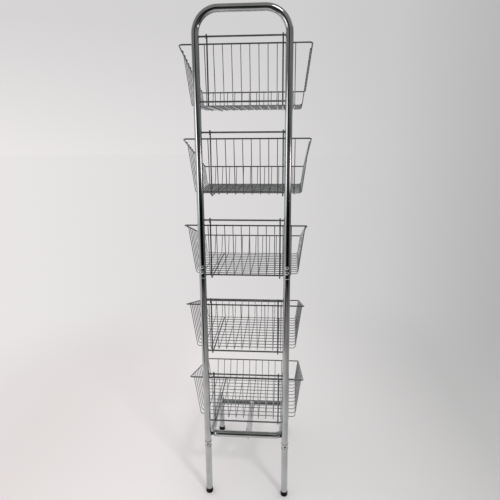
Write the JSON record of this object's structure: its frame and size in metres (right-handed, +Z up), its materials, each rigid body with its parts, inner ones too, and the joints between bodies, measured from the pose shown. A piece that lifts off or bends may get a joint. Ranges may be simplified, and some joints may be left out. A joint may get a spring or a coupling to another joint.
{
  "type": "wire basket stand",
  "caption": "Tall chrome tube stand with an arched top, a bent tube base and a stack of wire baskets that hang by hooks on rods between the posts, each lower at its front.",
  "frame": {"origin": "on the floor, midway between the two posts and between the posts and the front legs", "axes": "+Z up, +Y from the posts towards the front legs and the baskets' low fronts, +X to the right seen from the posts"},
  "size_m": [0.4478, 0.4394, 1.7988],
  "materials": {
    "chrome_tube": "polished chrome plate",
    "chrome_rod": "chrome plate on drawn rod",
    "chrome_wire": "chrome plate on drawn wire",
    "screw_steel": "bright zinc plate",
    "sleeve_steel": "plain drawn steel",
    "black_plastic": "moulded black plastic"
  },
  "bodies": {
    "stand": {"top_arch": "chrome_tube", "left_lower_post": "chrome_tube", "right_lower_post": "chrome_tube", "left_post_leg": "chrome_tube", "right_post_leg": "chrome_tube", "base_frame": "chrome_tube", "front_rail": "chrome_tube", "centre_stretcher": "chrome_tube", "left_mid_sleeve": "sleeve_steel", "right_mid_sleeve": "sleeve_steel", "left_leg_sleeve": "sleeve_steel", "right_leg_sleeve": "sleeve_steel", "upper_rod_1": "chrome_rod", "lower_rod_1": "chrome_rod", "upper_rod_2": "chrome_rod", "lower_rod_2": "chrome_rod", "upper_rod_3": "chrome_rod", "lower_rod_3": "chrome_rod", "upper_rod_4": "chrome_rod", "lower_rod_4": "chrome_rod", "upper_rod_5": "chrome_rod", "lower_rod_5": "chrome_rod", "mid_joint_screws": "screw_steel", "leg_joint_screws": "screw_steel", "base_bolts": "screw_steel", "left_saddle": "black_plastic", "right_saddle": "black_plastic", "left_post_foot": "black_plastic", "right_post_foot": "black_plastic", "left_front_foot": "black_plastic", "right_front_foot": "black_plastic"},
    "basket_1": {"basket_1_rim": "chrome_wire", "basket_1_hangers": "chrome_wire", "basket_1_long_wires": "chrome_wire", "basket_1_cross_wires": "chrome_wire"},
    "basket_2": {"basket_2_rim": "chrome_wire", "basket_2_hangers": "chrome_wire", "basket_2_long_wires": "chrome_wire", "basket_2_cross_wires": "chrome_wire"},
    "basket_3": {"basket_3_rim": "chrome_wire", "basket_3_hangers": "chrome_wire", "basket_3_long_wires": "chrome_wire", "basket_3_cross_wires": "chrome_wire"},
    "basket_4": {"basket_4_rim": "chrome_wire", "basket_4_hangers": "chrome_wire", "basket_4_long_wires": "chrome_wire", "basket_4_cross_wires": "chrome_wire"},
    "basket_5": {"basket_5_rim": "chrome_wire", "basket_5_hangers": "chrome_wire", "basket_5_long_wires": "chrome_wire", "basket_5_cross_wires": "chrome_wire"}
  },
  "joints": [
    {"name": "basket_1_lift", "type": "slide", "parent": "stand", "child": "basket_1", "axis": [0, 0, 1], "range_m": [0, 0.022]},
    {"name": "basket_2_lift", "type": "slide", "parent": "stand", "child": "basket_2", "axis": [0, 0, 1], "range_m": [0, 0.06]},
    {"name": "basket_3_lift", "type": "slide", "parent": "stand", "child": "basket_3", "axis": [0, 0, 1], "range_m": [0, 0.06]},
    {"name": "basket_4_lift", "type": "slide", "parent": "stand", "child": "basket_4", "axis": [0, 0, 1], "range_m": [0, 0.06]},
    {"name": "basket_5_lift", "type": "slide", "parent": "stand", "child": "basket_5", "axis": [0, 0, 1], "range_m": [0, 0.06]}
  ]
}
